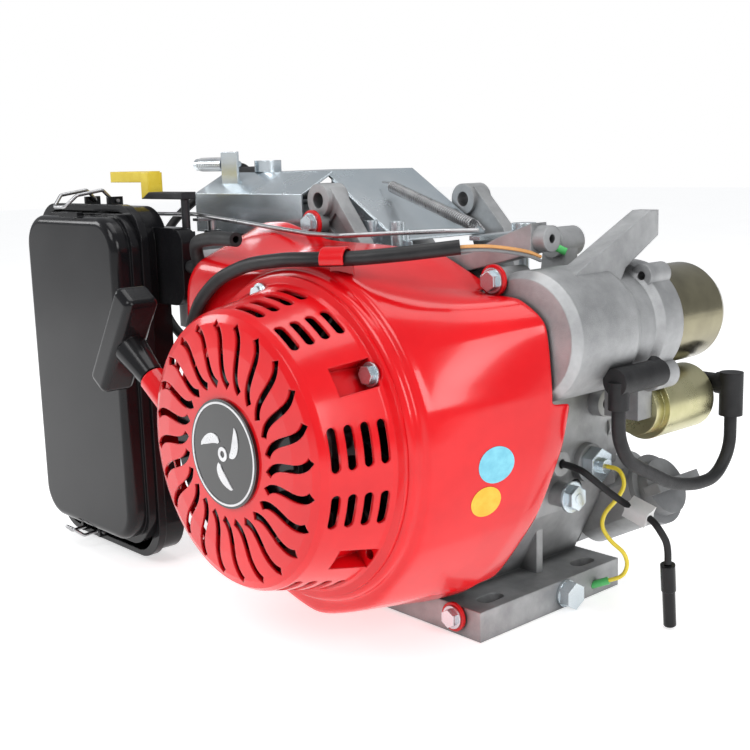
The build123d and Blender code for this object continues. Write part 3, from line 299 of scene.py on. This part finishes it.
def frames_along(points):
    """A tangent, a normal and a binormal at each point, carried along without twist."""
    points = [Vector(p) for p in points]
    tangents = []
    for i, point in enumerate(points):
        ahead = points[min(i + 1, len(points) - 1)] - points[max(i - 1, 0)]
        tangents.append(ahead.normalized())
    side = tangents[0].orthogonal().normalized()
    result = []
    for point, tangent in zip(points, tangents):
        side = (side - tangent * side.dot(tangent)).normalized()
        result.append((point, tangent, side, tangent.cross(side)))
    return result


def tube_mesh(points, radius, sides=12):
    rings = frames_along(points)
    verts = [circle_point(point, a, b, radius, 2 * pi * k / sides)
             for point, _, a, b in rings for k in range(sides)]
    rows = len(rings) - 1
    return verts, walls(sides, rows) + caps(sides, rows)


def smooth_path(points, steps=12):
    """Catmull-Rom curve through the points."""
    p = [Vector(q) for q in points]
    p = [p[0] * 2 - p[1]] + p + [p[-1] * 2 - p[-2]]
    result = []
    for i in range(1, len(p) - 2):
        for s in range(steps):
            t = s / steps
            a = 2 * p[i]
            b = (p[i + 1] - p[i - 1]) * t
            c = (2 * p[i - 1] - 5 * p[i] + 4 * p[i + 1] - p[i + 2]) * t * t
            d = (3 * p[i] - p[i - 1] - 3 * p[i + 1] + p[i + 2]) * t * t * t
            result.append((a + b + c + d) / 2)
    result.append(p[-2])
    return result


def coil_points(start, end, radius, turns, hook=6.0):
    """Helix between two points, with straight legs at both ends."""
    start, end = Vector(start), Vector(end)
    axis = (end - start).normalized()
    a = axis.orthogonal().normalized()
    b = axis.cross(a)
    length = (end - start).length - 2 * hook
    count = int(turns * COIL_STEPS)
    points = [start]
    for i in range(count + 1):
        middle = start + axis * (hook + length * i / count)
        points.append(circle_point(middle, a, b, radius, 2 * pi * i / COIL_STEPS))
    points.append(end)
    return points


def disc_mesh(centre, normal, radius, thickness, sides=48):
    centre, normal = Vector(centre), Vector(normal).normalized()
    a = normal.orthogonal().normalized()
    b = normal.cross(a)
    verts = [circle_point(centre + normal * lift, a, b, radius, 2 * pi * k / sides)
             for lift in (0, thickness) for k in range(sides)]
    return verts, caps(sides) + walls(sides)


# Stage: floor, light, camera ------------------------------------------------------------

def studio():
    scene = bpy.context.scene
    floor_look = Look("floor")
    tone = floor_look.ramp(floor_look.noise(6.0), rgb(0.80, 0.80, 0.80), rgb(0.84, 0.84, 0.84))
    floor_look.link(tone, floor_look.shader.inputs["Base Color"])
    floor_look.shader.inputs["Roughness"].default_value = 0.6
    floor_look.shader.inputs["Emission Color"].default_value = (1.0, 1.0, 1.0, 1.0)
    floor_look.shader.inputs["Emission Strength"].default_value = 0.62
    bpy.ops.mesh.primitive_plane_add(size=14, location=(0, 0, -0.0005))
    floor = bpy.context.object
    floor.name = "floor"
    floor.data.materials.append(floor_look.material)
    world = bpy.data.worlds.new("studio")
    scene.world = world
    world.use_nodes = True
    tree = world.node_tree
    backdrop = tree.nodes["Background"]
    backdrop.inputs["Color"].default_value = (0.95, 0.97, 1.0, 1.0)
    backdrop.inputs["Strength"].default_value = 0.42
    white = tree.nodes.new("ShaderNodeBackground")
    white.inputs["Color"].default_value = (1.0, 1.0, 1.0, 1.0)
    white.inputs["Strength"].default_value = 1.0
    ray = tree.nodes.new("ShaderNodeLightPath")
    mixer = tree.nodes.new("ShaderNodeMixShader")
    tree.links.new(ray.outputs["Is Camera Ray"], mixer.inputs["Fac"])
    tree.links.new(backdrop.outputs["Background"], mixer.inputs[1])
    tree.links.new(white.outputs["Background"], mixer.inputs[2])
    tree.links.new(mixer.outputs["Shader"], tree.nodes["World Output"].inputs["Surface"])
    scene.view_settings.view_transform = "Standard"
    lamps = [
        ("key", (0.25, -1.5, 1.5), (0.0, 0.0, 0.15), 0.9, 13),
        ("right", (1.6, -0.2, 0.9), (0.05, 0.0, 0.15), 0.7, 10),
        ("left", (-1.5, -0.9, 0.8), (-0.1, 0.0, 0.15), 0.5, 5),
        ("top", (0.0, 0.1, 1.8), (0.0, 0.0, 0.1), 1.2, 12),
    ]
    for name, place, aim, size, power in lamps:
        light = bpy.data.lights.new(name, "AREA")
        light.energy = power
        light.size = size
        lamp = bpy.data.objects.new(name, light)
        lamp.location = place
        lamp.rotation_euler = (Vector(aim) - Vector(place)).to_track_quat("-Z", "Y").to_euler()
        scene.collection.objects.link(lamp)


def camera():
    azimuth, elevation, roll = radians(48.16), radians(10.515), radians(-1.633)
    back = Vector((sin(azimuth) * cos(elevation), -cos(azimuth) * cos(elevation), sin(elevation)))
    right = (-back).cross(Vector((0, 0, 1))).normalized()
    up = right.cross(-back)
    across = right * cos(roll) + up * sin(roll)
    upward = -right * sin(roll) + up * cos(roll)
    lens = bpy.data.cameras.new("camera")
    lens.lens = 36.0 * 1183.627 / 750
    lens.sensor_width = 36.0
    lens.clip_start = 0.01
    view = bpy.data.objects.new("camera", lens)
    rotation = Matrix((across, upward, back)).transposed()
    view.matrix_world = Matrix.Translation(Vector((0.5774, -0.5673, 0.2945))) @ rotation.to_4x4()
    bpy.context.scene.collection.objects.link(view)
    bpy.context.scene.camera = view


# Fan shroud -----------------------------------------------------------------------------

CRANK = Vector((37.5, 0, 131.6))
TILT = radians(25.0)                     # cylinder axis above the horizontal
STARTER = Vector((146.27, 191.15))       # starter axis, X and Z
SHROUD_A = [
    (-90, 84), (-90, 214), (-74, 229), (-34, 227), (0, 227), (37, 230), (84, 221), (106, 206),
    (122, 190), (138, 160), (141, 128), (129, 80), (92, 38), (37, 18), (-20, 34), (-64, 60),
]
SHROUD_B = [
    (-98, 84), (-100, 212), (-96, 249), (-62, 251), (-20, 239), (60, 238), (116, 213), (145, 213),
    (164, 202), (168, 160), (162, 130), (144, 86), (108, 36), (50, 10), (-30, 12), (-84, 40),
]


def corner_cut(loop, shares=(0.14, 0.25, 0.25)):
    for share in shares:
        out = []
        for (x0, z0), (x1, z1) in zip(loop, loop[1:] + loop[:1]):
            out.append((x0 + (x1 - x0) * share, z0 + (z1 - z0) * share))
            out.append((x1 + (x0 - x1) * share, z1 + (z0 - z1) * share))
        loop = out
    return loop


def on_circle(point, radius):
    flat = Vector((point[0] - CRANK.x, point[1] - CRANK.z))
    flat.normalize()
    return (CRANK.x + flat.x * radius, CRANK.z + flat.y * radius)


def outside(point, radius):
    flat = Vector((point[0] - CRANK.x, point[1] - CRANK.z))
    return point if flat.length >= radius else on_circle(point, radius)


def blend_loops(a, b, share):
    return [(p[0] + (q[0] - p[0]) * share, p[1] + (q[1] - p[1]) * share) for p, q in zip(a, b)]


def shroud():
    front = [outside(p, 103.0) for p in corner_cut(SHROUD_A)]
    rear = corner_cut(SHROUD_B)
    rim = [on_circle(p, 97.6) for p in front]
    foot = [on_circle(p, 98.2) for p in front]
    flare = blend_loops([on_circle(p, 100.5) for p in front], front, 0.25)
    rings = [
        ([on_circle(p, 84.0) for p in front], -146.6), (rim, -146.6), (rim, -143.0), (foot, -139.6),
        (flare, -138.0), (blend_loops(flare, front, 0.75), -137.4), (front, -135.0),
        (blend_loops(front, rear, 0.08), -131.0), (blend_loops(front, rear, 0.3), -117.0),
        (blend_loops(front, rear, 0.55), -99.5), (blend_loops(front, rear, 0.8), -83.0),
        (blend_loops(front, rear, 0.95), -73.5), (rear, -70.2),
    ]
    verts, faces = [], []
    count = len(front)
    for loop, y in rings:
        verts += [(x, y, z) for x, z in loop]
    for i in range(len(rings) - 1):
        for k in range(count):
            j = (k + 1) % count
            faces.append((i * count + k, (i + 1) * count + k, (i + 1) * count + j, i * count + j))
    last = (len(rings) - 1) * count
    skirt = {}
    for k, (x, z) in enumerate(rear):
        if x > 62 and 38 < z < 236 and (Vector((x, z)) - STARTER).length > 38.5:
            skirt[k] = len(verts)
            verts.append((x, -54.5, z))
    for k in range(count):
        j = (k + 1) % count
        if k in skirt and j in skirt:
            faces.append((last + k, skirt[k], skirt[j], last + j))
    body = mesh_piece("shroud_shell", verts, faces, "red_paint", smooth=0)
    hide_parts("fan_shroud")
    body.data.polygons.foreach_set("use_smooth", [True] * len(body.data.polygons))
    modify(body, "SOLIDIFY", thickness=2 * MM, offset=-1.0)
    modify(body, "SUBSURF", levels=1, render_levels=2)
    for name, x, z in (("right", 126, 223), ("low", 90, 12), ("left", -35, 251)):
        ear_verts, ear_faces = disc_mesh((x, -72, z), (0, 1, 0), 9.2, 2.0)
        mesh_piece("shroud_ear_" + name, ear_verts, ear_faces, "red_paint")
    return body


shroud_shell = shroud()

# Small pieces ---------------------------------------------------------------------------

BADGE_FACE = (-200.9, -200.3)            # front and back of the printed mark, Y
LEAD_R = 2.2
LEAD_ROUTE = [                           # the eighth point is 5 mm from that of the CAD route
    (112, 7, 98), (125, 7, 98), (134, 12, 90), (138, 22, 81), (146, 29, 73), (169.7, 21.5, 71.0),
    (178.6, 19.0, 65.1), (181.62, 23.2, 55.236), (182.5, 21, 44.5),
]


def ribbon(name, loop, y0, y1, look, slot, body="engine"):
    """Closed outline in X and Z carried from y0 to y1."""
    verts = [(x, y, z) for y in (y0, y1) for x, z in loop]
    return mesh_piece(name, verts, caps(len(loop)) + walls(len(loop)), look, body)


def ring_piece(name, outer, inner, y0, y1, look, slot, sides=96):
    verts, faces = [], []
    for radius, y in ((inner, y0), (outer, y0), (outer, y1), (inner, y1)):
        for k in range(sides):
            t = 2 * pi * k / sides
            verts.append((CRANK.x + radius * cos(t), y, CRANK.z + radius * sin(t)))
    for i in range(4):
        for k in range(sides):
            j = (k + 1) % sides
            n = (i + 1) % 4
            faces.append((i * sides + k, i * sides + j, n * sides + j, n * sides + k))
    return mesh_piece(name, verts, faces, look)


def emblem():
    """Plain mark on the badge: a ring and three bent vanes."""
    ring_piece("badge_ring", 30.0, 28.8, *BADGE_FACE, "silver_print", "badge_black")
    ring_piece("badge_hub", 4.2, 2.0, *BADGE_FACE, "silver_print", "badge_black", 32)
    for i in range(3):
        loop = []
        for side, steps in ((1, range(0, 13)), (-1, range(12, -1, -1))):
            for k in steps:
                radius = 7.0 + 14.0 * k / 12
                half = 1.0 + 3.2 * sin(pi * k / 12)
                turn = 2 * pi * i / 3 + 0.9 * k / 12 + side * half / radius
                loop.append((CRANK.x + radius * cos(turn), CRANK.z + radius * sin(turn)))
        ribbon("badge_vane_%d" % (i + 1), loop, *BADGE_FACE, "silver_print", "badge_black")


def sticker(name, centre, look, radius):
    """Thin round label laid onto the shroud."""
    centre = Vector(centre)
    outward = Vector((0.86, -0.5, -0.02)).normalized()
    a = outward.orthogonal().normalized()
    b = outward.cross(a)
    verts, faces = [centre + outward * 6], []
    for ring in range(1, 7):
        for k in range(48):
            t = 2 * pi * k / 48
            verts.append(centre + outward * 6 + (a * cos(t) + b * sin(t)) * radius * ring / 6)
    for k in range(48):
        faces.append((0, 1 + k, 1 + (k + 1) % 48))
    for ring in range(5):
        for k in range(48):
            j = (k + 1) % 48
            low, high = 1 + ring * 48, 1 + (ring + 1) * 48
            faces.append((low + k, high + k, high + j, low + j))
    label = mesh_piece(name, verts, faces, look)
    modify(label, "SHRINKWRAP", target=shroud_shell, wrap_method="PROJECT", use_negative_direction=True,
           use_positive_direction=True, project_limit=0.03, offset=0.00025)


def coil(name, start, end, radius, wire, turns, look, hook=6.0, body="engine"):
    verts, faces = tube_mesh(coil_points(start, end, radius, turns, hook), wire, 8)
    return mesh_piece(name, verts, faces, look, body, smooth=60)


def springs():
    start, end = (-44, 1.4, 275.6), (70, -17.3, 246.4)
    wire = coil("spring_coil", start, end, 3.4, 0.65, 44, "steel", 12, body=None)
    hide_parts("governor_spring")
    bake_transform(wire)
    coil("idle_spring", (-199, -45, 291), (-167, -45, 291), 4.6, 0.75, 13, "steel", 0.5)


def along_bore(distance, y):
    return (CRANK.x - distance * cos(TILT), y, CRANK.z + distance * sin(TILT))


def valve_springs():
    """Two coils, for the intake and the exhaust valve."""
    for name, y, joint in (("intake", -17, "inlet_valve_slide"), ("exhaust", 17, "outlet_valve_slide")):
        points = coil_points(along_bore(221.4, y), along_bore(238.4, y), 9.4, 4, 0)[1:-1]
        verts, faces = tube_mesh(points, 1.3, 10)
        wire = mesh_piece(name + "_spring_coil", verts, faces, "steel", smooth=60)
        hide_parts("valve_springs")
        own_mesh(wire)


def rope():
    """Braided rope between its guide and the grip."""
    pull = Vector((-0.8359, 0, 0.5489))
    exit_point = Vector((-62, -180, 157))
    start, end = exit_point - pull * 34, exit_point + pull * 12
    verts = []
    sides, steps = 24, 60
    a = pull.orthogonal().normalized()
    b = pull.cross(a)
    for i in range(steps + 1):
        point = start.lerp(end, i / steps)
        for k in range(sides):
            turn = 2 * pi * k / sides
            bulge = 2.0 + 0.16 * cos(6 * turn + 1.6 * i)
            verts.append(circle_point(point, a, b, bulge, turn))
    faces = walls(sides, steps) + caps(sides, steps)
    strand = mesh_piece("rope_strand", verts, faces, "rope", body=None, smooth=60)
    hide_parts("recoil_rope")
    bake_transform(strand)


def clamp_strap():
    """Red tab of the shroud, bent over the cable sleeve."""
    centre = Vector((73, -142.5, 238.4))
    along = Vector((0.926, 0.375, 0.03)).normalized()
    lift = Vector((0, 0, 1))
    out = along.cross(lift).normalized()
    profile = [(-10.5, -24.0), (-8.6, -12.0), (-7.2, -2.0)]
    for k in range(11):
        turn = pi - pi * 1.15 * k / 10
        profile.append((7.0 * cos(turn), 7.0 * sin(turn)))
    verts, faces = [], []
    for reach, height in profile:
        for side in (-7.5, 7.5):
            verts.append(centre + out * reach + lift * height + along * side)
    for i in range(len(profile) - 1):
        faces.append((2 * i, 2 * i + 1, 2 * i + 3, 2 * i + 2))
    strap = mesh_piece("sleeve_strap", verts, faces, "red_paint", smooth=60)
    modify(strap, "SOLIDIFY", thickness=1.6 * MM, offset=1.0)
    modify(strap, "BEVEL", width=0.4 * MM, segments=2)


def wires():
    for i, drop in enumerate((0.0, 2.2)):
        points = smooth_path([(122, -106, 243.2 - drop), (130, -97, 244.2 - drop), (138, -84, 243.5 - drop),
                              (145, -66, 240 - drop), (146, -54, 236 - drop)])
        verts, faces = tube_mesh(points, 1.0)
        look = ("copper_wire", "grey_plastic")[i]
        mesh_piece("sleeve_wire_%d" % (i + 1), verts, faces, look)
    clip = smooth_path([(97, -24, 236), (104, -18, 238.5), (116, -10, 238), (124, -4, 234)])
    verts, faces = tube_mesh(clip, 2.4)
    mesh_piece("green_clip", verts, faces, "green_plastic")
    tie_turns = [2 * pi * k / 24 for k in range(25)]
    tie = [Vector((105, 29, 76)) + Vector((0, 5.4 * cos(t), 5.4 * sin(t))) for t in tie_turns]
    verts, faces = tube_mesh(tie, 0.9, 8)
    mesh_piece("cable_tie", verts, faces, "black_plastic")


def tag():
    """Blank white label folded round the straight run of the lead."""
    a, b = Vector((147.5, 28.5, 72.9)), Vector((168.5, 21.9, 71.1))
    along = (b - a).normalized()
    toward = Vector((0.66, -0.72, 0.27))
    across = along.cross(toward).normalized()
    out = across.cross(along).normalized()
    half = [(-7.5, 0.25), (-3.6, 0.9), (-1.9, 2.2), (0.0, 2.65), (1.9, 2.2), (3.6, 0.9), (7.5, 0.25)]
    profile = half + [(w, -t) for w, t in reversed(half)]
    verts = [a.lerp(b, share) + across * w + out * t for share in (0.0, 0.5, 1.0) for w, t in profile]
    faces = walls(len(profile), 2) + caps(len(profile), 2)
    return mesh_piece("lead_tag", verts, faces, "white_plastic", smooth=40)


def free_lead(flag):
    """The loose lead hangs from the crankcase, on nearly the route of its CAD solid."""
    data = bpy.data.curves.new("lead_line", "CURVE")
    data.dimensions = "3D"
    spline = data.splines.new("NURBS")
    spline.points.add(len(LEAD_ROUTE) - 1)
    for point, place in zip(spline.points, LEAD_ROUTE):
        point.co = (place[0] * MM, place[1] * MM, place[2] * MM, 1.0)
    spline.order_u = 3
    spline.use_endpoint_u = True
    data.bevel_depth = LEAD_R * MM
    data.bevel_resolution = 6
    data.resolution_u = 24
    data.use_fill_caps = True
    line = bpy.data.objects.new("lead_line", data)
    bpy.context.scene.collection.objects.link(line)
    data.materials.append(LOOKS["black_rubber"])
    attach(line, "engine")
    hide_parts("tagged_lead")


emblem()
sticker("label_blue", (153, -100, 126), "blue_label", 11.0)
sticker("label_orange", (147, -102, 104), "orange_label", 9.5)
springs()
valve_springs()
rope()
clamp_strap()
wires()
free_lead(tag())
studio()
camera()
